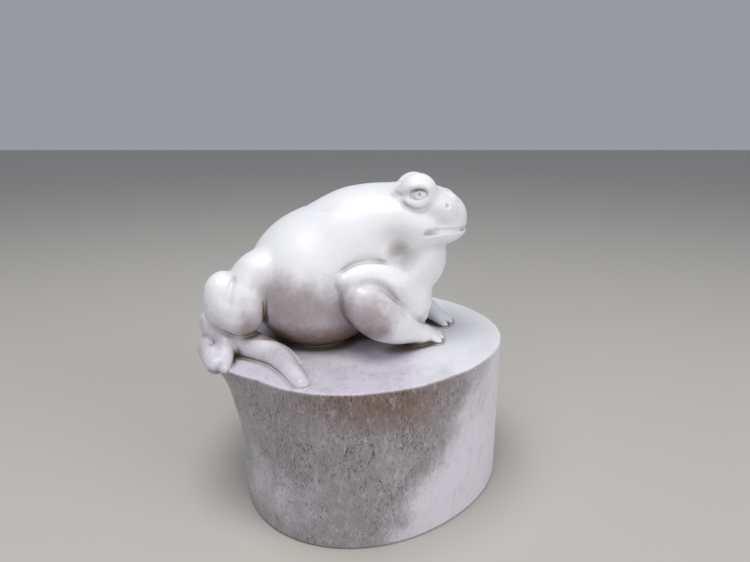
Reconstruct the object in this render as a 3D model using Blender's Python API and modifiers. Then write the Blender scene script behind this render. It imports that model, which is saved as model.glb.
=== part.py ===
"""A bullfrog sitting on a rounded column, carved from one block of pale stone.

Frame: metres, +Z up. The frog looks along +X and its right side faces -Y. The
origin is under the middle of the bounding box, on the face that the column
stands on. Every size below is in millimetres and is scaled by MM.

The frog is stated as masses that a carver would block out: a torso, a head, two
eye domes, two forelegs and two hind legs. Each mass is a few eggs and tapered
limbs, fused by a voxel remesh and smoothed, then cut clear of its neighbours.
"""

import math

import bmesh
import bpy
from mathutils import Euler, Matrix, Vector

MM = 0.001
GAP = 0.3                      # clearance between neighbouring masses

# Column: height, mean radius, the middle of its plan, and its rear lip
COLUMN_HEIGHT = 34.3
COLUMN_RADIUS = 31.5
COLUMN_MIDDLE = (4.6, 0.9)
COLUMN_LOBES = ((1, 1.2, -135.0), (2, 1.6, 153.0), (3, 1.15, -9.0))  # count, depth, heading
LIP_REACH = 6.6                # how far the rear lip stands out at the top
LIP_LEAN = 2.1                 # slow lean of the rear wall below the lip
LIP_START = 24.0               # height where the lip starts
LIP_HEADING = 183.0
LIP_HALF_ANGLE = 48.0
FLARE = 1.3                    # how far the whole rear wall swells under the lip
FLARE_START = 17.0
FLARE_END = 26.0
COLUMN_EDGE = 0.4              # rounding of the two rims
COLUMN_SIDES = 80
COLUMN_RINGS = (0.4, 8.0, 16.0, 22.0, 25.0, 28.0, 30.5, 32.5, 33.9)

# Frog: where its parts meet the top of the column
FOOT_LEVEL = COLUMN_HEIGHT + 1.6
FINGER_LEVEL = COLUMN_HEIGHT + 0.9

# Head: the middle height of the eye domes, and how far the right one sits above it
EYE_LEVEL = 67.2
HEAD_TILT = 0.5

SIDES = (("right", -1.0), ("left", 1.0))

FROG_WHITE = (0.78, 0.77, 0.76)
FROG_MAUVE = (0.52, 0.46, 0.48)
COLUMN_GREY = (0.44, 0.40, 0.42)


# ---------------------------------------------------------------- scene helpers

def clear_scene():
    """Remove every object, and the collections that held them."""
    for thing in list(bpy.data.objects):
        bpy.data.objects.remove(thing, do_unlink=True)
    for group in list(bpy.data.collections):
        bpy.data.collections.remove(group)


def new_collection(name):
    group = bpy.data.collections.new(name)
    bpy.context.scene.collection.children.link(group)
    return group


def stone_material(name, colour, roughness):
    material = bpy.data.materials.new(name)
    material.use_nodes = True
    shader = material.node_tree.nodes["Principled BSDF"]
    shader.inputs["Base Color"].default_value = (*colour, 1.0)
    shader.inputs["Roughness"].default_value = roughness
    shader.inputs["Metallic"].default_value = 0.0
    return material


def object_from(shape, name, group, material=None):
    """Turn a bmesh into a linked object with its own mesh."""
    mesh = bpy.data.meshes.new(name)
    shape.to_mesh(mesh)
    shape.free()
    thing = bpy.data.objects.new(name, mesh)
    group.objects.link(thing)
    if material is not None:
        mesh.materials.append(material)
    mesh.shade_smooth()
    return thing


# ---------------------------------------------------------------- clay shapes

def add_egg(shape, middle, radii, turned=(0.0, 0.0, 0.0)):
    """Add an ellipsoid, turned by degrees about X, Y and Z."""
    turn = Euler([math.radians(angle) for angle in turned]).to_matrix().to_4x4()
    size = Matrix.Diagonal(Vector(radii) * MM).to_4x4()
    place = Matrix.Translation(Vector(middle) * MM) @ turn @ size
    bmesh.ops.create_uvsphere(shape, u_segments=32, v_segments=20, radius=1.0, matrix=place)


def add_limb(shape, joints):
    """Add balls at (x, y, z, radius) joints, and a cone between each two of them."""
    for x, y, z, radius in joints:
        add_egg(shape, (x, y, z), (radius, radius, radius))
    for first, second in zip(joints, joints[1:]):
        start = Vector(first[:3])
        along = Vector(second[:3]) - start
        turn = along.to_track_quat("Z", "Y").to_matrix().to_4x4()
        place = Matrix.Translation((start + along / 2.0) * MM) @ turn
        bmesh.ops.create_cone(
            shape, cap_ends=True, segments=24, radius1=first[3] * MM,
            radius2=second[3] * MM, depth=along.length * MM, matrix=place)


def on_side(side, x, y, z):
    """A point given for the right side, placed on the side wanted."""
    return (x, -side * y, z)


def fuse(thing, voxel, smoothing, keep):
    """Fuse a mass's eggs and limbs into one smooth skin."""
    remesh = thing.modifiers.new("fuse", "REMESH")
    remesh.mode = "VOXEL"
    remesh.voxel_size = voxel * MM
    remesh.use_smooth_shade = True
    smooth = thing.modifiers.new("soften", "SMOOTH")
    smooth.factor = 0.5
    smooth.iterations = smoothing
    decimate = thing.modifiers.new("thin_out", "DECIMATE")
    decimate.ratio = keep
    decimate.use_collapse_triangulate = True


def grown_cutter(thing, name, group):
    """A copy of a mass, grown by GAP, that cuts its neighbours clear of it."""
    cutter = thing.copy()
    cutter.name = name
    group.objects.link(cutter)
    grow = cutter.modifiers.new("grow", "DISPLACE")
    grow.strength = GAP * MM
    grow.mid_level = 0.0
    cutter.hide_render = True
    cutter.display_type = "WIRE"
    return cutter


def cut_clear(thing, *cutters):
    for cutter in cutters:
        boolean = thing.modifiers.new("clear_of_" + cutter.name, "BOOLEAN")
        boolean.operation = "DIFFERENCE"
        boolean.solver = "EXACT"
        boolean.object = cutter


# ---------------------------------------------------------------- the column

def smoothstep(low, high, value):
    t = min(max((value - low) / (high - low), 0.0), 1.0)
    return t * t * (3.0 - 2.0 * t)


def column_radius(heading, height):
    """Plan radius in millimetres at a heading in degrees and a height."""
    radius = COLUMN_RADIUS
    for count, depth, peak in COLUMN_LOBES:
        radius += depth * math.cos(math.radians(count * heading - peak))
    off = (heading - LIP_HEADING + 180.0) % 360.0 - 180.0
    if abs(off) < LIP_HALF_ANGLE:
        lobe = math.cos(math.radians(off * 90.0 / LIP_HALF_ANGLE)) ** 1.1
        rise = max(height - LIP_START, 0.0) / (COLUMN_HEIGHT - LIP_START)
        radius += lobe * (LIP_REACH * rise ** 2 + LIP_LEAN * height / COLUMN_HEIGHT)
    rear = max(math.cos(math.radians(off)), 0.0)
    return radius + FLARE * rear * smoothstep(FLARE_START, FLARE_END, height)


def build_column(name, group, material, grow=0.0):
    """A cylinder cut into rings, each vertex moved out to the plan of its height."""
    shape = bmesh.new()
    middle = Matrix.Translation((0.0, 0.0, COLUMN_HEIGHT / 2.0 * MM))
    bmesh.ops.create_cone(
        shape, cap_ends=True, segments=COLUMN_SIDES, radius1=MM, radius2=MM,
        depth=COLUMN_HEIGHT * MM, matrix=middle)
    for height in COLUMN_RINGS:
        bmesh.ops.bisect_plane(
            shape, geom=shape.verts[:] + shape.edges[:] + shape.faces[:],
            plane_co=(0.0, 0.0, height * MM), plane_no=(0.0, 0.0, 1.0))
    for vertex in shape.verts:
        heading = math.degrees(math.atan2(vertex.co.y, vertex.co.x))
        height = vertex.co.z / MM
        radius = column_radius(heading, height) + grow
        at_rim = height < COLUMN_EDGE / 2.0 or height > COLUMN_HEIGHT - COLUMN_EDGE / 2.0
        if at_rim:
            radius -= COLUMN_EDGE
            height += math.copysign(grow, height - COLUMN_EDGE)
        x = COLUMN_MIDDLE[0] + radius * math.cos(math.radians(heading))
        y = COLUMN_MIDDLE[1] + radius * math.sin(math.radians(heading))
        vertex.co = Vector((x, y, height)) * MM
    bmesh.ops.recalc_face_normals(shape, faces=shape.faces[:])
    column = object_from(shape, name, group, material)
    column.data.set_sharp_from_angle(angle=math.radians(35.0))
    return column


# ---------------------------------------------------------------- the frog

def build_torso(group, material):
    shape = bmesh.new()
    add_egg(shape, (-7.2, 0.0, 47.2), (14.8, 17.4, 14.6))              # belly
    add_egg(shape, (-7.6, 0.0, 51.0), (16.6, 13.5, 13.1), (0, -33, 0))  # back
    add_egg(shape, (-1.5, 0.0, 52.5), (13.0, 15.4, 14.2), (0, -28, 0))  # ribs
    add_egg(shape, (3.4, 0.0, 55.0), (12.4, 13.4, 13.6), (0, -18, 0))   # shoulders
    add_egg(shape, (8.8, 0.0, 45.5), (9.2, 10.8, 12.0))                 # chest
    add_egg(shape, (1.5, 0.0, 41.0), (13.0, 9.5, 9.0))                  # under the belly
    torso = object_from(shape, "torso", group, material)
    fuse(torso, voxel=1.1, smoothing=8, keep=0.17)
    return torso


def build_head(group, material):
    shape = bmesh.new()
    add_egg(shape, (9.5, 0.0, 60.5), (10.5, 12.0, 8.7))                # skull and cheeks
    add_egg(shape, (16.9, 0.0, 63.0), (9.2, 8.0, 5.7), (0, 20, 0))      # snout
    add_egg(shape, (15.5, 0.0, 59.8), (10.4, 9.7, 3.6), (0, 4, 0))      # lower jaw
    add_egg(shape, (13.4, 0.0, 52.0), (8.0, 9.2, 8.4), (0, 10, 0))      # throat pouch
    head = object_from(shape, "head", group, material)
    fuse(head, voxel=0.9, smoothing=5, keep=0.24)
    return head


def build_eye(name, side, group, material):
    """The dome of one eye with the brow over it."""
    shape = bmesh.new()
    level = EYE_LEVEL - side * HEAD_TILT
    add_egg(shape, on_side(side, 14.1, -7.0, level), (4.4, 3.8, 4.5))
    add_egg(shape, on_side(side, 14.2, -8.7, level - 0.9), (3.6, 2.8, 3.0))
    eye = object_from(shape, name, group, material)
    fuse(eye, voxel=0.6, smoothing=2, keep=0.3)
    return eye


def build_foreleg(name, side, group, material):
    shape = bmesh.new()
    upper_arm = ((9.0, -9.5, 48.0, 4.8), (4.0, -12.6, 50.2, 4.1), (0.0, -14.5, 50.0, 3.0))
    forearm = ((-0.2, -14.6, 49.2, 3.0), (2.8, -15.4, 45.6, 5.0), (6.2, -14.6, 42.0, 4.9),
               (10.0, -12.4, 38.8, 3.6), (14.0, -9.6, 36.6, 2.4))
    for bones in (upper_arm, forearm):
        add_limb(shape, [(*on_side(side, *bone[:3]), bone[3]) for bone in bones])
    palm = (13.8, -9.0, FINGER_LEVEL + 1.0, 1.8)
    for tip_x, tip_y in ((18.6, -9.8), (20.8, -7.0), (21.3, -4.2), (19.0, -2.0)):
        finger = (palm, (tip_x, tip_y, FINGER_LEVEL, 1.3))
        add_limb(shape, [(*on_side(side, *bone[:3]), bone[3]) for bone in finger])
    foreleg = object_from(shape, name, group, material)
    fuse(foreleg, voxel=0.65, smoothing=3, keep=0.18)
    return foreleg


def build_hindleg(name, side, group, material):
    shape = bmesh.new()
    add_egg(shape, on_side(side, -26.4, -10.8, 44.4), (5.7, 5.7, 7.4))     # folded knee
    add_egg(shape, on_side(side, -22.6, -13.6, 42.0), (5.0, 4.5, 6.0))     # shank
    thigh = ((-18.0, -7.5, 47.5, 5.5), (-23.0, -11.6, 45.5, 4.8))
    heel_and_long_toe = ((-29.7, -10.0, 38.8, 4.3), (-27.5, -14.0, 37.6, 3.8),
                         (-21.0, -17.2, 36.6, 3.4), (-13.5, -23.8, FOOT_LEVEL, 2.8),
                         (-9.0, -28.8, FOOT_LEVEL - 0.6, 2.0))
    inner_toe = ((-22.0, -16.0, 36.6, 2.6), (-14.0, -17.5, FOOT_LEVEL - 0.4, 2.0),
                 (-10.5, -19.8, FOOT_LEVEL - 0.8, 1.5))
    outer_toe = ((-30.0, -11.5, 37.0, 3.4), (-29.0, -16.5, FOOT_LEVEL - 0.3, 2.4),
                 (-25.9, -21.8, FOOT_LEVEL - 0.8, 1.8))
    for bones in (thigh, heel_and_long_toe, inner_toe, outer_toe):
        add_limb(shape, [(*on_side(side, *bone[:3]), bone[3]) for bone in bones])
    hindleg = object_from(shape, name, group, material)
    fuse(hindleg, voxel=0.7, smoothing=3, keep=0.16)
    return hindleg


# ---------------------------------------------------------------- the assembly

def main():
    clear_scene()
    carving = new_collection("frog_carving")
    cutters = new_collection("cutters")

    column = build_column("plinth", carving, stone_material("plinth_stone", COLUMN_GREY, 0.45))
    torso = build_torso(carving, stone_material("torso_stone", FROG_WHITE, 0.3))
    head = build_head(carving, stone_material("head_stone", FROG_WHITE, 0.28))

    column_cutter = build_column("column_grown", cutters, None, grow=GAP)
    column_cutter.hide_render = True
    column_cutter.display_type = "WIRE"
    torso_cutter = grown_cutter(torso, "torso_grown", cutters)
    head_cutter = grown_cutter(head, "head_grown", cutters)

    cut_clear(torso, column_cutter)
    cut_clear(head, torso_cutter)
    masses = [column, torso, head]
    for side_name, side in SIDES:
        eye = build_eye("eye_" + side_name, side, carving,
                        stone_material("eye_stone_" + side_name, FROG_WHITE, 0.25))
        cut_clear(eye, head_cutter, torso_cutter)
        foreleg = build_foreleg("foreleg_" + side_name, side, carving,
                                stone_material("foreleg_stone_" + side_name, FROG_WHITE, 0.3))
        cut_clear(foreleg, column_cutter, torso_cutter, head_cutter)
        hindleg = build_hindleg("hindleg_" + side_name, side, carving,
                                stone_material("hindleg_stone_" + side_name, FROG_MAUVE, 0.32))
        cut_clear(hindleg, column_cutter, torso_cutter)
        masses += [eye, foreleg, hindleg]

    frame = bpy.data.objects.new("carving_frame", None)
    carving.objects.link(frame)
    for mass in masses:
        mass.parent = frame


main()
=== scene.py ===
"""Bullfrog carved on a column of pale stone: the visual model.

The carving is sculpted as signed distances on a grid, the way a carver blocks out
masses and then cuts the grooves, and the grid is turned into meshes that meet along
those grooves. Sculpting is in millimetres, in the CAD frame: the frog looks along +X,
its right side faces -Y and +Z is up. MM turns a length into metres.
"""
import math

import bpy
import numpy as np
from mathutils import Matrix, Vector


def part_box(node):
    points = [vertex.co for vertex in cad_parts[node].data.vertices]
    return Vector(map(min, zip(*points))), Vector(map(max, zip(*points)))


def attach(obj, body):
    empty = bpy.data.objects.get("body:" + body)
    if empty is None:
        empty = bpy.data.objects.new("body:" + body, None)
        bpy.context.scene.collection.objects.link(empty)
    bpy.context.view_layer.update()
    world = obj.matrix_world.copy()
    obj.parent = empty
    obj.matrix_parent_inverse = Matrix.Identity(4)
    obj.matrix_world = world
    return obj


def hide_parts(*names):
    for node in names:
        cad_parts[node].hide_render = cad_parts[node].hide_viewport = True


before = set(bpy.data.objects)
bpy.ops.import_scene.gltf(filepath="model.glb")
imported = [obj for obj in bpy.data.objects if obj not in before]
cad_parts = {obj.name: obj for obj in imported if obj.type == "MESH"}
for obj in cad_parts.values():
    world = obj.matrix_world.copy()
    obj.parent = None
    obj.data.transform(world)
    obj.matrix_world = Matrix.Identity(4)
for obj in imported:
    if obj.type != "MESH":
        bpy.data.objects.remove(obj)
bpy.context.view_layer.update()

MM = 0.001
TOP = float(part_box("plinth")[1][2]) / MM    # where the column ends and the frog starts
CELL = 0.24          # grid step of the sculpture

# ---------------------------------------------------------------- sculpting by distances

FAR = 60.0                      # distance that stands for empty space
RIGHT, LEFT = -1, 1
SKIN_ROUNDS = 5                 # how often a line drawn on the skin is smoothed


def smoothstep(low, high, value):
    t = np.clip((value - low) / (high - low), 0.0, 1.0)
    return t * t * (3.0 - 2.0 * t)


def smooth_min(a, b, blend):
    """The smaller of two distances, rounded over a band as wide as blend."""
    blend = np.maximum(blend, 1e-3)
    near = np.maximum(blend - np.abs(a - b), 0.0) / blend
    return np.minimum(a, b) - near * near * blend * 0.25


def turned_axes(about_x=0.0, about_y=0.0, about_z=0.0):
    cx, cy, cz = (math.cos(math.radians(a)) for a in (about_x, about_y, about_z))
    sx, sy, sz = (math.sin(math.radians(a)) for a in (about_x, about_y, about_z))
    turn_x = np.array([[1, 0, 0], [0, cx, -sx], [0, sx, cx]])
    turn_y = np.array([[cy, 0, sy], [0, 1, 0], [-sy, 0, cy]])
    turn_z = np.array([[cz, -sz, 0], [sz, cz, 0], [0, 0, 1]])
    return turn_z @ turn_y @ turn_x


class Egg:
    """An ellipsoid, turned by degrees about X, Y and Z."""

    def __init__(self, middle, radii, turned=(0, 0, 0)):
        self.middle = np.array(middle, float)
        self.radii = np.array(radii, float)
        self.axes = turned_axes(*turned)

    def reach(self):
        half = np.sqrt(((self.axes * self.radii) ** 2).sum(1))
        return self.middle - half, self.middle + half

    def distance(self, x, y, z):
        away = (x - self.middle[0], y - self.middle[1], z - self.middle[2])
        own = [sum(self.axes[j, i] * away[j] for j in range(3)) for i in range(3)]
        size = np.sqrt(sum((own[i] / self.radii[i]) ** 2 for i in range(3)))
        slope = np.sqrt(sum((own[i] / self.radii[i] ** 2) ** 2 for i in range(3)))
        return size * (size - 1.0) / np.maximum(slope, 1e-6)


class Limb:
    """A ball swept straight from one (x, y, z, radius) joint to the next."""

    def __init__(self, start, end):
        self.start, self.start_radius = np.array(start[:3], float), start[3]
        self.end, self.end_radius = np.array(end[:3], float), end[3]

    def reach(self):
        low = np.minimum(self.start - self.start_radius, self.end - self.end_radius)
        high = np.maximum(self.start + self.start_radius, self.end + self.end_radius)
        return low, high

    def distance(self, x, y, z):
        along = self.end - self.start
        away = (x - self.start[0], y - self.start[1], z - self.start[2])
        t = sum(away[i] * along[i] for i in range(3)) / float(along @ along)
        t = np.clip(t, 0.0, 1.0)
        gap = np.sqrt(sum((away[i] - t * along[i]) ** 2 for i in range(3)))
        return gap - (self.start_radius + (self.end_radius - self.start_radius) * t)


def on_side(side, points):
    """Points given for the right side, placed on the side wanted."""
    return [(p[0], -side * p[1], *p[2:]) for p in points]


def smooth_line(points, steps=5):
    """A Catmull-Rom line through the points."""
    p = np.array(points, float)
    p = np.vstack([2 * p[0] - p[1], p, 2 * p[-1] - p[-2]])
    line = []
    for a, b, c, d in zip(p, p[1:], p[2:], p[3:]):
        for t in np.arange(steps) / steps:
            line.append(0.5 * (2 * b + (c - a) * t + (2 * a - 5 * b + 4 * c - d) * t ** 2
                               + (3 * b - 3 * c + d - a) * t ** 3))
    line.append(p[-2])
    return np.array(line)


def stepped(*stretches):
    """Grid values from one (start, step) to the next; the last start ends the axis."""
    values = [np.arange(a[0], b[0] - a[1] / 2, a[1]) for a, b in zip(stretches, stretches[1:])]
    return np.concatenate(values).astype(np.float32)


class Chain:
    """A ball swept along a smooth line through (x, y, z, radius) joints."""

    def __init__(self, joints):
        line = smooth_line(joints)
        self.limbs = [Limb(a, b) for a, b in zip(line, line[1:])]

    def reach(self):
        ends = [limb.reach() for limb in self.limbs]
        return np.min([low for low, high in ends], 0), np.max([high for low, high in ends], 0)

    def distance(self, x, y, z):
        nearest = FAR
        for limb in self.limbs:
            nearest = np.minimum(nearest, limb.distance(x, y, z))
        return nearest


class Clay:
    """Signed distances over a box of the grid, negative inside."""

    def __init__(self, axes, low=None, high=None):
        self.part = tuple(slice(0, len(a)) for a in axes)
        if low is not None:
            self.part = self.span(axes, low, high)
        self.axes = [a[s] for a, s in zip(axes, self.part)]
        self.field = np.full([len(a) for a in self.axes], FAR, np.float32)

    @staticmethod
    def span(axes, low, high):
        spans = []
        for axis, first, last in zip(axes, low, high):
            begin = max(int(np.searchsorted(axis, first)) - 1, 0)
            end = min(int(np.searchsorted(axis, last)) + 1, len(axis))
            spans.append(slice(begin, max(begin, end)))
        return tuple(spans)

    def window(self, low, high):
        part = self.span(self.axes, low, high)
        sides = [axis[s] for axis, s in zip(self.axes, part)]
        return part, np.meshgrid(*sides, indexing="ij", sparse=True)

    def put(self, shape, blend=0.0):
        low, high = shape.reach()
        part, grid = self.window(low - blend - 1.5, high + blend + 1.5)
        distance = shape.distance(*grid).astype(np.float32)
        self.field[part] = smooth_min(self.field[part], distance, blend)

    def cut(self, shape, blend=0.0):
        low, high = shape.reach()
        part, grid = self.window(low - blend - 1.5, high + blend + 1.5)
        distance = shape.distance(*grid).astype(np.float32)
        self.field[part] = -smooth_min(-self.field[part], distance, blend)

    def on_skin(self, side, line):
        """Points (x, z) drawn on one side of the clay, moved along Y to its skin."""
        found = []
        for x, z in line:
            place = np.abs(self.axes[0] - x).argmin(), np.abs(self.axes[2] - z).argmin()
            column = self.field[place[0], :, place[1]]
            stone = np.flatnonzero(column < 0)
            if len(stone) == 0:
                continue
            last = stone[0] if side == RIGHT else stone[-1]
            beyond = last + side
            part = column[last] / (column[last] - column[beyond])
            skin = self.axes[1][last] + part * (self.axes[1][beyond] - self.axes[1][last])
            found.append((x, skin, z))
        found = np.array(found).reshape(-1, 3)
        for _ in range(SKIN_ROUNDS):
            found[1:-1, 1] = (found[:-2, 1] + 2 * found[1:-1, 1] + found[2:, 1]) / 4
        return found

    def press(self, points, width, depth, taper=0.25):
        """Press a groove along a line, or raise a ridge where depth is negative."""
        points = np.array(points, float)
        part, grid = self.window(points.min(0) - 2.4 * width, points.max(0) + 2.4 * width)
        lengths = np.linalg.norm(np.diff(points, axis=0), axis=1)
        starts = np.concatenate([[0.0], np.cumsum(lengths)])
        nearest = along = None
        for i, length in enumerate(lengths):
            step = points[i + 1] - points[i]
            away = [grid[j] - points[i][j] for j in range(3)]
            t = sum(away[j] * step[j] for j in range(3)) / max(length ** 2, 1e-9)
            t = np.clip(t, 0.0, 1.0)
            gap = np.sqrt(sum((away[j] - t * step[j]) ** 2 for j in range(3)))
            place = (starts[i] + t * length) / starts[-1]
            if nearest is None:
                nearest, along = gap, place
            else:
                along = np.where(gap < nearest, place, along)
                nearest = np.minimum(gap, nearest)
        profile = np.exp(-(nearest / width) ** 2)
        if taper:
            profile = profile * smoothstep(0, taper, along) * smoothstep(0, taper, 1 - along)
        self.field[part] += (depth * profile).astype(np.float32)


# ---------------------------------------------------------------- the column

COLUMN_MIDDLE = (4.6, 0.9)
COLUMN_RADIUS = 31.5
COLUMN_LOBES = ((1, 1.2, -135.0), (2, 1.6, 153.0), (3, 1.15, -9.0))
LIP_HEADING, LIP_HALF_ANGLE = 183.0, 48.0
LIP_START, LIP_REACH, LIP_LEAN = 24.0, 6.6, 2.1
FLARE_START, FLARE_END, FLARE = 17.0, 26.0, 1.3
COLUMN_EDGE = 0.6


def column_radius(heading, z):
    radius = COLUMN_RADIUS
    for count, depth, peak in COLUMN_LOBES:
        radius = radius + depth * np.cos(count * heading - math.radians(peak))
    off = (np.degrees(heading) - LIP_HEADING + 180.0) % 360.0 - 180.0
    lobe = np.cos(np.radians(np.clip(off * 90.0 / LIP_HALF_ANGLE, -90, 90)))
    lobe = np.maximum(lobe, 0.0) ** 1.1
    rise = np.clip((z - LIP_START) / (TOP - LIP_START), 0, 1)
    lip = LIP_REACH * rise ** 2 + LIP_LEAN * np.clip(z / TOP, 0, 1)
    back = np.maximum(np.cos(np.radians(np.clip(off, -90, 90))), 0)
    return radius + lobe * lip + FLARE * back * smoothstep(FLARE_START, FLARE_END, z)


def column_distance(axes):
    x, y, z = np.meshgrid(*axes, indexing="ij", sparse=True)
    x, y = x - COLUMN_MIDDLE[0], y - COLUMN_MIDDLE[1]
    wall = np.hypot(x, y) - column_radius(np.arctan2(y, x), z)
    ends = np.maximum(z - TOP, -z)
    corner = np.maximum(COLUMN_EDGE - np.abs(wall - ends), 0.0) ** 2 / COLUMN_EDGE
    return (np.maximum(wall, ends) + 0.25 * corner).astype(np.float32)


# ---------------------------------------------------------------- the frog

def sculpt_body(clay):
    """Torso, head, eye domes and hips."""
    clay.put(Egg((-8.0, 0, 47.8), (15.2, 14.0, 14.0)))
    for side in (RIGHT, LEFT):
        clay.put(Egg((-8.0, 6.2 * side, 46.4), (14.4, 10.9, 13.0)), 3.5)
    clay.put(Egg((-7.4, 0, 50.6), (16.8, 12.6, 13.1), (0, -33, 0)), 4)
    clay.put(Egg((3.0, 0, 55.4), (12.4, 13.0, 13.4), (0, -18, 0)), 5)
    clay.put(Egg((8.6, 0, 44.5), (9.4, 9.4, 12.0)), 4)
    for side in (RIGHT, LEFT):
        clay.put(Egg((11.6, 5.4 * side, 43.0), (5.6, 4.2, 7.0), (0, -20, 0)), 2.5)
    # head
    clay.put(Egg((9.5, 0, 60.6), (10.4, 11.6, 8.5)), 3)
    clay.put(Egg((16.7, 0, 63.4), (9.2, 8.4, 5.6), (0, 12, 0)), 2.5)
    clay.put(Egg((15.4, 0, 59.0), (10.0, 9.9, 3.9)), 2.6)
    for side in (RIGHT, LEFT):
        clay.put(Egg((11.5, 7.4 * side, 60.6), (6.4, 4.2, 5.2)), 2.0)
    clay.put(Egg((13.2, 0, 52.2), (8.2, 10.0, 9.0), (0, 20, 0)), 1.4)
    # hips
    for side, drop in ((RIGHT, 0.0), (LEFT, 1.5)):
        clay.put(Egg((-19.4, 8.5 * side, 50.4 - drop), (5.2, 5.4, 5.2)), 2.2)
    fold = smooth_line([(9.6, 53.6), (11.0, 50.0), (13.7, 46.6), (15.8, 44.6)])
    pouch = [clay.on_skin(RIGHT, fold), [(17.6, -3.0, 43.4), (18.0, 0, 43.0), (17.6, 3.0, 43.4)],
             clay.on_skin(LEFT, fold)[::-1]]
    clay.press(np.vstack(pouch), 1.3, 0.95, 0.1)
    for side in (RIGHT, LEFT):
        armpit = [(-3.0, 50.8), (-0.6, 53.2), (2.4, 54.5), (5.4, 54.4), (8.6, 52.6)]
        clay.press(clay.on_skin(side, smooth_line(armpit)), 0.9, 0.5)
        sculpt_face(clay, side)
    sculpt_mouth(clay)


def sculpt_face(clay, side):
    """One side's eye dome and socket, nostril and the hollow behind the jaw."""
    lift = -0.5 * side
    clay.put(Egg((14.2, 7.0 * side, 67.2 + lift), (4.2, 3.7, 4.3)), 2.2)
    clay.put(Egg((17.6, 5.3 * side, 64.8), (4.6, 3.6, 3.0), (0, 15, 0)), 2.0)
    clay.put(Egg((21.2, 3.2 * side, 66.1), (1.6, 1.4, 1.2)), 1.4)
    # the socket, under a brow that overhangs it and above a lid and a bag
    brow = [(10.7, 67.6), (12.0, 69.0), (14.2, 69.8), (16.0, 69.4), (17.0, 68.0)]
    lid = [(10.9, 67.5), (11.9, 66.4), (13.6, 65.7), (15.2, 65.9), (16.5, 67.1)]
    bag = [(10.2, 66.5), (11.7, 65.2), (13.8, 64.5), (15.8, 65.0), (17.2, 66.9)]
    corner = [(8.6, 68.0), (9.8, 67.7), (11.2, 67.5)]
    folds = ((brow, 0.8, -0.45), (lid, 0.5, -0.30), (bag, 0.55, 0.35), (corner, 0.5, 0.35))
    folds = [(clay.on_skin(side, smooth_line(line)), width, depth) for line, width, depth in folds]
    clay.cut(Egg((14.0, 11.0 * side, 67.8 + lift * 0.2), (2.6, 1.5, 1.35), (0, -4, 0)), 0.3)
    for line, width, depth in folds:
        clay.press(line, width, depth)
    # the nostril
    nostril = clay.on_skin(side, [(20.5, 65.2)])[0]
    clay.cut(Egg(nostril, (0.55, 0.5, 0.42)), 0.3)
    clay.press([nostril + (-0.8, 0, -0.5), nostril + (-0.9, 0, 0.5)], 0.5, -0.15, 0)
    # behind the jaw
    clay.press([(9.6, 11.6 * side, 57.8), (10.6, 11.0 * side, 55.4)], 2.2, 1.2, 0)


def sculpt_mouth(clay):
    """One line from corner to corner, widest and deepest at the corners."""
    lips = smooth_line([(15.2, 59.8), (16.9, 59.9), (18.8, 60.0), (21.6, 59.9), (23.6, 59.7)])
    right, left = clay.on_skin(RIGHT, lips), clay.on_skin(LEFT, lips)
    front = [(25.2, -2.4, 59.6), (25.7, 0.0, 59.65), (25.2, 2.4, 59.6)]
    mouth = np.vstack([right, front, left[::-1]])
    clay.press(mouth, 0.36, 0.7, 0.03)
    clay.press(mouth - (0, 0, 0.8), 0.45, -0.12, 0.1)
    for corner in (right[:12], left[:12]):
        clay.press(corner - (0, 0, 0.1), 0.5, 0.75, 0.3)


def sculpt_eye(clay, side):
    """An eyeball with a ring round the pupil."""
    lift = -0.5 * side
    middle = np.array((14.1, 7.5 * side, 67.4 + 0.5 * lift))
    clay.put(Egg(middle, (3.0, 2.9, 2.7)))
    skin = 2.9
    ring = []
    for angle in np.linspace(0, 2 * math.pi, 13):
        across, up = 0.75 * math.cos(angle), 0.75 * math.sin(angle)
        out = math.sqrt(skin ** 2 - across ** 2 - up ** 2)
        ring.append(middle + (across + 0.15, out * side, up + 0.1))
    clay.press(ring, 0.26, -0.22, 0)
    pupil = middle + (0.15, skin * side, 0.1)
    clay.cut(Egg(pupil, (0.34, 0.42, 0.42)), 0.1)


def sculpt_foreleg(clay, side, reach):
    """Upper arm, forearm and hand. reach moves the hand forward."""
    upper_arm = [(12.0, -8.0, 44.5, 4.4), (7.6, -11.0, 48.8, 4.4), (3.0, -13.3, 50.5, 3.6),
                 (-1.0, -15.0, 50.5, 2.1)]
    forearm = [(0.6, -14.9, 48.4, 2.6), (3.5, -15.2, 45.4, 4.7),
               (6.0 + 0.3 * reach, -14.6, 42.8, 4.9), (9.2 + 0.6 * reach, -12.9, 40.3, 4.1),
               (12.6 + 0.8 * reach, -10.6, 38.2, 2.9),
               (15.4 + reach, -8.6, 36.6, 2.2)]
    clay.put(Chain(on_side(side, upper_arm)))
    clay.put(Chain(on_side(side, forearm)), 0.9)
    bend = smooth_line([(1.2, 50.2), (4.4, 50.7), (6.8, 49.7), (8.8, 47.6), (10.2, 45.2)])
    clay.press(clay.on_skin(side, bend), 0.75, 0.55)
    for tip_x, tip_y in ((19.3, -8.6), (20.0, -6.5), (19.8, -4.2), (18.4, -2.0)):
        knuckle = (15.2 + 0.45 * (tip_x - 15.2) + reach, -7.6 + 0.55 * (tip_y + 7.6), TOP + 1.5, 1.3)
        finger = [(14.6 + reach, -8.4, TOP + 2.2, 2.0), knuckle, (tip_x + reach, tip_y, TOP + 0.5, 0.9)]
        clay.put(Chain(on_side(side, finger)), 1.3)


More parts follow.
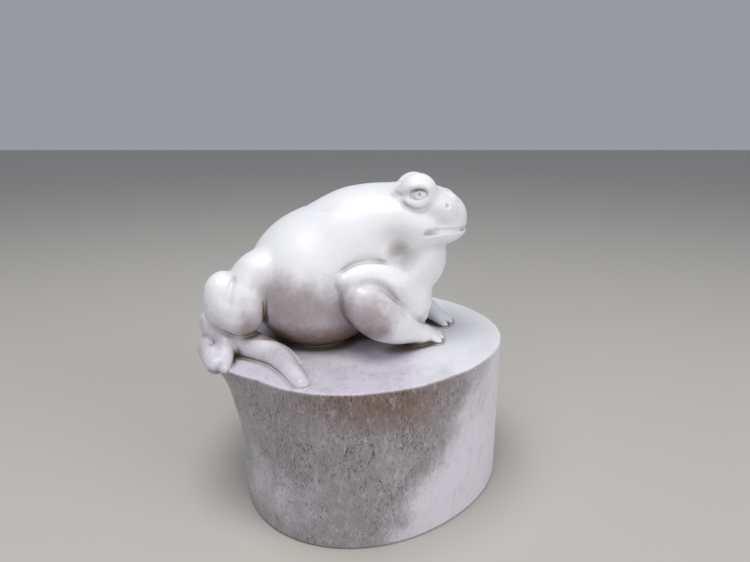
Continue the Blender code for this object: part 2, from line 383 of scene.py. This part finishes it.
def sculpt_hindleg(clay, side, drop):
    """Thigh, knee, shank, heel and foot. drop lowers the knee."""
    thigh = [(-20.5, -9.5, 49.8 - drop, 4.5), (-22.4, -12.4, 46.0 - drop, 4.6),
             (-22.8, -13.6, 42.4, 4.1)]
    clay.put(Chain(on_side(side, thigh)))
    clay.put(Egg((-27.4, 11.0 * side, 46.2 - drop), (4.2, 5.0, 5.5)), 1.8)
    clay.put(Egg((-26.0, 12.4 * side, 43.6 - drop * 0.5), (4.6, 4.6, 4.4)), 2.2)
    crease = [(-24.0, 51.4 - drop), (-24.6, 49.6 - drop), (-24.9, 47.6 - drop), (-25.0, 45.6 - drop)]
    clay.press(clay.on_skin(side, smooth_line(crease)), 0.7, 0.5)
    # heel and foot
    foot = [(-29.4, -10.6, 40.0, 3.7), (-26.4, -12.4, 37.6, 3.5), (-22.4, -13.4, 36.0, 3.5),
            (-18.6, -15.4, 35.2, 3.3), (-14.6, -18.9, 34.8, 2.7), (-11.4, -24.2, 34.6, 2.1),
            (-8.8, -29.6, 34.4, 1.7)]
    outer_toe = [(-30.6, -9.5, 35.8, 3.0), (-30.2, -14.0, 35.0, 2.6), (-27.4, -20.4, 34.4, 1.9)]
    spur = [(-27.2, -13.6, 37.4, 2.2), (-26.0, -18.0, 35.6, 1.7), (-25.0, -22.6, 34.4, 1.1)]
    inner_toe = [(-19, -13, 35.4, 2.2), (-15.0, -15.0, 34.6, 2.0), (-11.4, -18.4, 34.0, 1.4)]
    for bones, blend in ((foot, 0.6), (outer_toe, 0.8), (spur, 1.2), (inner_toe, 0.8)):
        clay.put(Chain(on_side(side, bones)), blend)
    slit = on_side(side, [(-31.4, -14.6, 38.6), (-30.2, -15.4, 37.8), (-28.6, -16.2, 36.6)])
    clay.press(slit, 0.45, 0.7)


def sculpt(cell):
    """The whole carving: grid axes, distances, and which piece each grid point is in.

    The grid is finer round the eyes and the hands, and coarse low in the column.
    """
    fine = cell * 2 / 3
    axes = [stepped((-37, cell), (9.6, fine), (18.0, cell), (37, 0)),
            stepped((-35, cell), (-12.0, fine), (-8.4, cell), (8.4, fine), (12.0, cell), (35, 0)),
            stepped((-1.2, 0.6), (30.0, cell), (33.6, fine), (37.6, cell), (64.0, fine),
                    (70.0, cell), (74.0, 0))]
    body = Clay(axes)
    sculpt_body(body)
    field = body.field.copy()
    nearest = body.field
    owner = np.zeros(field.shape, np.uint8)
    pieces = ["body"]

    def join(clay, name, blend):
        part = clay.part
        field[part] = smooth_min(field[part], clay.field, blend)
        owner[part][clay.field < nearest[part]] = len(pieces)
        nearest[part] = np.minimum(nearest[part], clay.field)
        pieces.append(name)

    for name, side in (("eye_right", RIGHT), ("eye_left", LEFT)):
        clay = Clay(axes, (9, min(0, 13 * side), 62), (19, max(0, 13 * side), 73))
        sculpt_eye(clay, side)
        join(clay, name, 0.12)
    for name, side, reach in (("foreleg_right", RIGHT, 0.0), ("foreleg_left", LEFT, 3.5)):
        clay = Clay(axes, (-6, min(0, 22 * side), 30), (30, max(0, 22 * side), 58))
        sculpt_foreleg(clay, side, reach)
        x, y, z = np.meshgrid(*clay.axes, indexing="ij", sparse=True)
        chest = smoothstep(6.5, 13, x) * smoothstep(38, 44, z)
        join(clay, name, 0.5 + 4.5 * chest)
    for name, side, drop in (("hindleg_right", RIGHT, 0.0), ("hindleg_left", LEFT, 2.5)):
        clay = Clay(axes, (-36, min(0, 34 * side), 30), (-4, max(0, 34 * side), 58))
        sculpt_hindleg(clay, side, drop)
        x, y, z = np.meshgrid(*clay.axes, indexing="ij", sparse=True)
        join(clay, name, 0.5 + 2.5 * smoothstep(45, 52, z))
    column = Clay(axes)
    column.field = column_distance(axes)
    join(column, "plinth", 0.4)
    return axes, field, owner, pieces


# ---------------------------------------------------------------- from distances to meshes

def surface_nets(axes, field, labels):
    """Vertices of the faces between unlike labels, and the quads of each label.

    Every cell with unlike corners gets one vertex, at the middle of the places where its
    edges cross the surface, or cross from one piece to the next deep inside the stone.
    """
    shape = np.array(labels.shape)
    low = high = labels
    for axis in range(3):
        first = [slice(None)] * 3
        second = [slice(None)] * 3
        first[axis], second[axis] = slice(0, -1), slice(1, None)
        low = np.minimum(low[tuple(first)], low[tuple(second)])
        high = np.maximum(high[tuple(first)], high[tuple(second)])
    mixed = low != high
    cells = np.argwhere(mixed)
    index = np.full(mixed.shape, -1, np.int32)
    index[mixed] = np.arange(len(cells))
    skin_sum, core_sum = np.zeros((2, len(cells), 3))
    skin_hits, core_hits = np.zeros((2, len(cells)))
    for axis in range(3):
        across = [a for a in range(3) if a != axis]
        for du in (0, 1):
            for dv in (0, 1):
                start = cells.copy()
                start[:, across[0]] += du
                start[:, across[1]] += dv
                end = start.copy()
                end[:, axis] += 1
                label_a, label_b = labels[tuple(start.T)], labels[tuple(end.T)]
                field_a, field_b = field[tuple(start.T)], field[tuple(end.T)]
                skin = (label_a == 0) != (label_b == 0)
                core = (label_a != label_b) & ~skin
                t = np.where(skin, field_a / np.where(skin, field_a - field_b, 1.0), 0.5)
                point = np.stack([axes[i][start[:, i]] for i in range(3)], 1)
                step = axes[axis][end[:, axis]] - axes[axis][start[:, axis]]
                point[:, axis] += t * step
                skin_sum += point * skin[:, None]
                skin_hits += skin
                core_sum += point * core[:, None]
                core_hits += core
    on_skin = skin_hits > 0
    points = np.where(on_skin[:, None], skin_sum / np.maximum(skin_hits, 1)[:, None],
                      core_sum / np.maximum(core_hits, 1)[:, None])
    quads, owners, outer = [], [], []
    for axis in range(3):
        u, v = (axis + 1) % 3, (axis + 2) % 3
        first = [slice(None)] * 3
        second = [slice(None)] * 3
        first[axis], second[axis] = slice(0, -1), slice(1, None)
        edges = np.argwhere(labels[tuple(first)] != labels[tuple(second)])
        inner = (edges[:, [u, v]] > 0).all(1) & (edges[:, [u, v]] < shape[[u, v]] - 1).all(1)
        edges = edges[inner]
        around = []
        for du, dv in ((-1, -1), (0, -1), (0, 0), (-1, 0)):
            corner = edges.copy()
            corner[:, u] += du
            corner[:, v] += dv
            around.append(index[tuple(corner.T)])
        around = np.stack(around, 1)
        ahead = edges.copy()
        ahead[:, axis] += 1
        label_a, label_b = labels[tuple(edges.T)], labels[tuple(ahead.T)]
        skin = (label_a == 0) | (label_b == 0)
        for label, ring in ((label_a, around), (label_b, around[:, ::-1])):
            solid = label > 0
            quads.append(ring[solid])
            owners.append(label[solid])
            outer.append(skin[solid])
    return points, np.concatenate(quads), np.concatenate(owners), np.concatenate(outer)


def sample(axes, field, points):
    """The field at any points, mixed from the eight grid values around each."""
    cell, part = [], []
    for i in range(3):
        place = np.clip(np.searchsorted(axes[i], points[:, i]) - 1, 0, len(axes[i]) - 2)
        width = axes[i][place + 1] - axes[i][place]
        cell.append(place)
        part.append(np.clip((points[:, i] - axes[i][place]) / width, 0, 1))
    value = 0.0
    for dx in (0, 1):
        for dy in (0, 1):
            for dz in (0, 1):
                weight = np.abs(1 - dx - part[0]) * np.abs(1 - dy - part[1])
                weight = weight * np.abs(1 - dz - part[2])
                value = value + weight * field[cell[0] + dx, cell[1] + dy, cell[2] + dz]
    return value


def slope_of(axes, field, points, step):
    """The way out of the stone at each point, with length 1."""
    slopes = []
    for i in range(3):
        away = np.zeros(3)
        away[i] = step
        slopes.append(sample(axes, field, points + away) - sample(axes, field, points - away))
    slopes = np.stack(slopes, 1)
    return slopes / np.maximum(np.linalg.norm(slopes, axis=1, keepdims=True), 1e-9)


def hollowness(axes, field, points, normals, reach):
    """0 on open stone, rising towards 1 where other stone stands within reach."""
    ahead = sample(axes, field, points + normals * reach)
    return np.clip(1.0 - ahead / reach, 0, 1)


def piece_object(name, points, quads, outer, normals, tints, material):
    """A mesh object of one piece, in metres, with a normal at every corner."""
    used, corners = np.unique(quads, return_inverse=True)
    corners = corners.reshape(quads.shape)
    mesh = bpy.data.meshes.new(name)
    mesh.vertices.add(len(used))
    mesh.vertices.foreach_set("co", (points[used] * MM).astype(np.float32).ravel())
    mesh.loops.add(corners.size)
    mesh.loops.foreach_set("vertex_index", corners.astype(np.int32).ravel())
    mesh.polygons.add(len(corners))
    mesh.polygons.foreach_set("loop_start", np.arange(0, corners.size, 4, dtype=np.int32))
    mesh.update(calc_edges=True)
    face_normals = np.empty(len(corners) * 3, np.float32)
    mesh.polygons.foreach_get("normal", face_normals)
    face_normals = face_normals.reshape(-1, 1, 3)
    corner_normals = np.where(outer[:, None, None], normals[quads], face_normals)
    mesh.shade_smooth()
    mesh.normals_split_custom_set(corner_normals.reshape(-1, 3).tolist())
    for tint, values in tints.items():
        layer = mesh.attributes.new(tint, "FLOAT", "POINT")
        layer.data.foreach_set("value", values[used].astype(np.float32))
    mesh.materials.append(material)
    piece = bpy.data.objects.new(name, mesh)
    bpy.context.scene.collection.objects.link(piece)
    return piece


# ---------------------------------------------------------------- materials

class Nodes:
    """A short way to add and wire shader nodes."""

    def __init__(self, name):
        self.material = bpy.data.materials.new(name)
        self.material.use_nodes = True
        self.tree = self.material.node_tree
        self.shader = self.tree.nodes["Principled BSDF"]

    def add(self, kind, inputs=None, **settings):
        node = self.tree.nodes.new("ShaderNode" + kind)
        for key, value in settings.items():
            setattr(node, key, value)
        for key, value in (inputs or {}).items():
            self.join(value, node.inputs[key])
        return node

    def join(self, value, socket):
        if isinstance(value, bpy.types.NodeSocket):
            self.tree.links.new(value, socket)
        elif isinstance(value, bpy.types.Node):
            self.tree.links.new(value.outputs[0], socket)
        else:
            socket.default_value = value

    def math(self, operation, a, b):
        return self.add("Math", {0: a, 1: b}, operation=operation).outputs[0]

    def tint(self, name):
        return self.add("Attribute", attribute_name=name).outputs["Fac"]

    def place(self, stretch=(1, 1, 1)):
        """Place on the carving in millimetres, stretched per axis."""
        here = self.add("TexCoord").outputs["Object"]
        scale = [s / MM for s in stretch]
        return self.add("VectorMath", {0: here, 1: scale}, operation="MULTIPLY").outputs[0]

    def noise(self, scale, detail=3.0, roughness=0.55, stretch=(1, 1, 1), twist=0.0):
        inputs = {"Vector": self.place(stretch), "Scale": scale, "Detail": detail,
                  "Roughness": roughness, "Distortion": twist}
        return self.add("TexNoise", inputs).outputs["Fac"]

    def ramp(self, value, low, high, start=0.0, end=1.0):
        inputs = {"Value": value, "From Min": low, "From Max": high,
                  "To Min": start, "To Max": end}
        return self.add("MapRange", inputs, interpolation_type="SMOOTHSTEP").outputs[0]

    def mix(self, amount, a, b):
        node = self.add("Mix", data_type="RGBA")
        self.join(amount, node.inputs["Factor"])
        self.join(a, node.inputs[6])
        self.join(b, node.inputs[7])
        return node.outputs[2]


MILK = (0.80, 0.80, 0.82, 1)        # the clean stone of the back and the head
LILAC = (0.60, 0.55, 0.64, 1)       # the top of the column
MAUVE = (0.40, 0.34, 0.355, 1)       # belly and legs
GREY = (0.31, 0.29, 0.305, 1)       # the wall of the column
# painted shade under the frog, and the column's own brown
BROWN = (0.20, 0.13, 0.105, 1)
OLIVE_SHADE = (0.12, 0.095, 0.05, 1)      # painted shade in the creases
FIBRE = (0.035, 0.03, 0.03, 1)


def stone(name, shade, grain):
    """Pale polished stone: clouded with the shade, specked, browned (painted shade on the frog, the
    stone's own brown on the column) and given painted shade in its creases.

    The vertex tints say where. grain is (scale along Z, strength of the dark fibres,
    strength of the mottle), and a scale under 1 draws the grain out upright.
    """
    stretch, fibres, mottle = grain
    n = Nodes(name)
    upright = (1, 1, stretch)
    clouds = n.ramp(n.noise(0.11, 4.0, 0.62), 0.25, 0.75, -0.5, 0.5)
    fine = n.noise(1.5, 4.0, 0.65, upright)
    zone = n.math("ADD", n.tint("shade"), n.math("MULTIPLY", clouds, 0.55))
    zone = n.ramp(zone, 0.05, 1.0)
    colour = n.mix(n.tint("lilac"), MILK, LILAC)
    colour = n.mix(zone, colour, shade)
    # the brown tint is painted shade on the frog and the stone's own brown on the column
    brown = n.math("ADD", n.tint("brown"), n.math("MULTIPLY", clouds, 0.25))
    # the clouds break up the brown but bring none where the tint is nothing
    allowed = n.math("MINIMUM", n.math("MULTIPLY", n.tint("brown"), 3.0), 1.0)
    brown = n.math("MULTIPLY", n.ramp(brown, 0.10, 1.0), allowed)
    colour = n.mix(brown, colour, BROWN)
    # light and dark grain, only where the stone is shaded or lilac
    grained = n.math("MULTIPLY", n.math("MAXIMUM", zone, n.tint("lilac")), mottle)
    pale = n.math("MULTIPLY", n.ramp(n.noise(0.9, 5.0, 0.7, upright), 0.50, 0.72), grained)
    colour = n.mix(pale, colour, MILK)
    dusk = n.math("MULTIPLY", n.ramp(n.noise(0.55, 5.0, 0.7, upright), 0.50, 0.75), grained)
    colour = n.mix(dusk, colour, FIBRE)
    # short dark fibres
    thick = n.ramp(n.noise(0.16, 3.0, 0.6), 0.35, 0.65, 0.40, 1.0)
    line = n.ramp(n.noise(2.9, 4.0, 0.7, upright, 1.2), 0.51, 0.62)
    line = n.math("MULTIPLY", line, n.math("MULTIPLY", thick, fibres))
    colour = n.mix(n.math("MULTIPLY", line, n.tint("specks")), colour, FIBRE)
    # painted shade: the hollow tint darkens the creases towards olive
    hollow = n.tint("hollow")
    colour = n.mix(n.ramp(hollow, 0.05, 0.75, 0.0, 0.9), colour, OLIVE_SHADE)
    n.join(colour, n.shader.inputs["Base Color"])
    n.join(n.ramp(fine, 0.2, 0.8, 0.30, 0.46), n.shader.inputs["Roughness"])
    n.shader.inputs["Subsurface Weight"].default_value = 0.12
    n.shader.inputs["Subsurface Radius"].default_value = (1.0, 0.85, 0.75)
    n.shader.inputs["Subsurface Scale"].default_value = 0.5 * MM
    n.shader.inputs["Coat Weight"].default_value = 0.15
    n.shader.inputs["Coat Roughness"].default_value = 0.22
    relief = n.math("ADD", n.math("MULTIPLY", fine, 0.6), n.math("MULTIPLY", line, -0.5))
    bump = n.add("Bump", {"Strength": 0.3, "Distance": 0.10 * MM, "Height": relief})
    n.join(bump.outputs[0], n.shader.inputs["Normal"])
    return n.material


# ---------------------------------------------------------------- the pieces

REPLACED = {
    "body": ("torso", "head"), "eye_right": ("eye_right",), "eye_left": ("eye_left",),
    "foreleg_right": ("foreleg_right",), "foreleg_left": ("foreleg_left",),
    "hindleg_right": ("hindleg_right",), "hindleg_left": ("hindleg_left",),
    "plinth": ("plinth",),
}
SLOPE_STEP = 0.15


def blob(points, middle, size):
    """1 at the middle, fading to nothing well outside an egg of that size."""
    away = (points - np.array(middle)) / np.array(size)
    return np.exp(-(away ** 2).sum(1))


def frog_tints(x, y, z):
    """Where the frog is mauve and lilac, low on the belly and on the legs; and painted shade: mauve in
    the chest hollow, brown under the belly, shank, forearm and hand and behind the jaw.
    """
    points = np.stack([x, np.abs(y), z], 1)
    over_foot = smoothstep(2, 0, np.abs(y) - 11 - 1.2 * (z - TOP))
    belly = smoothstep(55.5, 45.0, z + 0.10 * (x + 8)) * smoothstep(9, 2, x)
    belly = belly * over_foot * smoothstep(-24.5, -20.5, x)
    forearm = 1.2 * blob(points, (4.2, 17, 43.8), (5.4, 9, 5.6))
    # painted shade: the chest blob darkens the hollow between the upper arm and the throat pouch
    chest = 0.45 * blob(points, (11.8, 8.5, 50.5), (3.4, 4.5, 4.2))
    leg = smoothstep(-20, -26, x) * smoothstep(56, 44, z) * 0.36
    low_leg = smoothstep(48, 42.0, z) * smoothstep(-15, -19, x) * smoothstep(36, 41, z) * 0.48
    foot = smoothstep(-4, -8, x) * smoothstep(41, 38, z) * 0.42
    shade = np.maximum.reduce([belly * 0.92, forearm, chest, leg, low_leg, foot])
    band = blob(points, (-20.8, 13, 49), (2.8, 9, 6.5))
    shade = shade * (1 - 0.85 * band)
    # painted shade: brown under the belly near the column, under the shank and the forearm, behind the
    # jaw and under the hand
    under = smoothstep(44.5, 36.5, z) * smoothstep(-21, -17, x) * smoothstep(6, 2, x)
    brown = 0.95 * under * over_foot
    brown = brown + 0.7 * blob(points, (-21.6, 16.5, 41.4), (3.0, 4, 4.0))
    brown = brown + 0.5 * blob(points, (5.5, 18, 41.0), (4.0, 5, 2.8))
    brown = brown + 0.7 * blob(points, (9.9, 11.5, 56.2), (3.0, 4, 2.8))
    brown = brown + 0.35 * blob(points, (17.0, 9.5, 35.4), (3.4, 2.5, 1.4))
    lilac = 0.50 * smoothstep(-3, -8, x) * smoothstep(43, 38, z)
    return shade, brown, lilac


def column_tints(x, y, z):
    """The wall is grey with a paler, milky stretch in front. The top is lilac."""
    heading = np.degrees(np.arctan2(y - COLUMN_MIDDLE[1], x - COLUMN_MIDDLE[0])) % 360.0
    edge = 277.0 + 1.2 * z + 2.5 * np.sin(0.42 * z + 0.8)
    milky = smoothstep(edge - 15, edge + 13, heading) + smoothstep(68, 44, heading)
    wall = smoothstep(TOP + 0.2, TOP - 0.5, z)
    spot = np.stack([heading, z], 1)
    smear = 0.35 * blob(spot, (322, 29), (7, 8))
    pale = 0.40 * blob(spot, (226, 9), (22, 8)) + 0.25 * blob(spot, (264, 3), (14, 9))
    shade = np.clip(1 - milky, 0, 1) * (1 - pale) + smear
    brown = 0.80 * smoothstep(20, 33, z) * blob(heading[:, None], (274,), (36,))
    brown = brown + 0.38 * blob(spot, (287, 18), (9, 13)) + 0.22 * blob(spot, (262, 9), (10, 10))
    lilac = smoothstep(22, 8, x) * (1 - wall) + 0.6 * wall
    return shade * wall, brown * wall, lilac


NEAR_REACH, WIDE_REACH = 0.6, 1.6
# the painted crease shade is mostly taken off the pupil, the nostril and the front of the mouth, which
# stay pale
PALE_HOLLOWS = (((14.2, 10.3, 67.5), (1.3, 2.0, 1.1)), ((20.6, 5.2, 65.2), (1.6, 2.6, 1.6)),
                ((25.6, 0.0, 59.6), (3.6, 4.5, 1.6)))
# painted shade: under the brow and at the corner of the mouth the crease shade is painted darker
PAINTED_SHADE_HOLLOWS = (((13.6, 10.0, 69.0), (2.6, 2.5, 0.8)), ((16.0, 9.0, 59.7), (1.8, 3.0, 0.5)))


def tints_of(axes, field, points, normals):
    near = hollowness(axes, field, points, normals, NEAR_REACH)
    wide = hollowness(axes, field, points, normals, WIDE_REACH)
    x, y, z = points.T
    on_frog = z > TOP + 0.25
    frog_shade, frog_brown_shade, frog_lilac = frog_tints(x, y, z)
    column_shade, column_brown, column_lilac = column_tints(x, y, z)
    # painted shade in creases and under overhangs: darker the more stone stands close in front of the
    # surface
    hollow = np.clip(0.45 * near + 0.75 * wide - 0.12, 0, 1)
    sides = np.stack([x, np.abs(y), z], 1)
    for middle, size in PALE_HOLLOWS:
        hollow = hollow * (1 - 0.8 * blob(sides, middle, size))
    for middle, size in PAINTED_SHADE_HOLLOWS:
        hollow = hollow + 0.35 * blob(sides, middle, size)
    # hollow is painted crease shade; brown is painted shade on the frog and the stone's own brown on
    # the column
    return {"hollow": np.clip(hollow, 0, 1),
            "shade": np.where(on_frog, frog_shade, column_shade),
            "brown": np.where(on_frog, frog_brown_shade, column_brown),
            "lilac": np.where(on_frog, frog_lilac, column_lilac),
            "specks": np.where(on_frog, 0.12 * frog_shade + 0.7 * frog_lilac, column_shade)}


def build_pieces():
    axes, field, owner, names = sculpt(CELL)
    labels = np.where(field < 0, owner + 1, 0).astype(np.uint8)
    points, quads, owners, outer = surface_nets(axes, field, labels)
    normals = slope_of(axes, field, points, SLOPE_STEP)
    tints = tints_of(axes, field, points, normals)
    frog_stone = stone("frog_stone", MAUVE, (0.8, 0.6, 0.16))
    column_stone = stone("column_stone", GREY, (0.38, 0.95, 0.30))
    for number, name in enumerate(names, 1):
        own = owners == number
        material = column_stone if name == "plinth" else frog_stone
        title = "column" if name == "plinth" else "frog_" + name
        piece = piece_object(title, points, quads[own], outer[own], normals, tints, material)
        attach(piece, "root")
        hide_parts(*REPLACED[name])
        print(name, "quads", int(own.sum()))


# ---------------------------------------------------------------- stage

FLOOR_HALF = 1.5
FLOOR_COLOUR = (0.50, 0.48, 0.44, 1)
FLOOR_ROUGHNESS = 0.6
ROOM_COLOUR = (0.86, 0.90, 1.0, 1)
ROOM_STRENGTH = 0.36
LAMP_AIM = (0, 0, 0.04)
# name, place, width of the disk, power
LAMPS = (("overhead", (-0.06, -0.06, 0.46), 0.26, 1.25),
         ("front", (-0.24, -0.50, 0.24), 0.30, 0.55),
         ("right", (0.42, -0.26, 0.20), 0.34, 1.0))
CAMERA_PLACE = (0.00515, -0.1265, 0.0827)
CAMERA_TILT = 74                # degrees up from straight down
CAMERA_LENS, CAMERA_SENSOR = 27.02, 36
CAMERA_NEAR = 0.005


def build_stage():
    half = FLOOR_HALF
    mesh = bpy.data.meshes.new("floor")
    mesh.from_pydata([(-half, -half, 0), (half, -half, 0), (half, half, 0), (-half, half, 0)],
                     [], [(0, 1, 2, 3)])
    floor = bpy.data.objects.new("floor", mesh)
    bpy.context.scene.collection.objects.link(floor)
    n = Nodes("floor")
    n.shader.inputs["Base Color"].default_value = FLOOR_COLOUR
    n.shader.inputs["Roughness"].default_value = FLOOR_ROUGHNESS
    mesh.materials.append(n.material)


def soft_light(name, place, size, power):
    lamp = bpy.data.lights.new(name, "AREA")
    lamp.shape = "DISK"
    lamp.size = size
    lamp.energy = power
    light = bpy.data.objects.new(name, lamp)
    light.location = place
    aim = Vector(LAMP_AIM) - Vector(place)
    light.rotation_euler = aim.to_track_quat("-Z", "Y").to_euler()
    bpy.context.scene.collection.objects.link(light)


def build_lights():
    world = bpy.data.worlds.new("room")
    world.use_nodes = True
    background = world.node_tree.nodes["Background"]
    background.inputs["Color"].default_value = ROOM_COLOUR
    background.inputs["Strength"].default_value = ROOM_STRENGTH
    bpy.context.scene.world = world
    for name, place, size, power in LAMPS:
        soft_light(name, place, size, power)


def build_camera():
    lens = bpy.data.cameras.new("camera")
    lens.sensor_width = CAMERA_SENSOR
    lens.lens = CAMERA_LENS
    lens.clip_start = CAMERA_NEAR
    camera = bpy.data.objects.new("camera", lens)
    camera.location = CAMERA_PLACE
    camera.rotation_euler = (math.radians(CAMERA_TILT), 0, 0)
    bpy.context.scene.collection.objects.link(camera)
    bpy.context.scene.camera = camera
    bpy.context.scene.view_settings.view_transform = "Standard"


build_pieces()
build_stage()
build_lights()
build_camera()
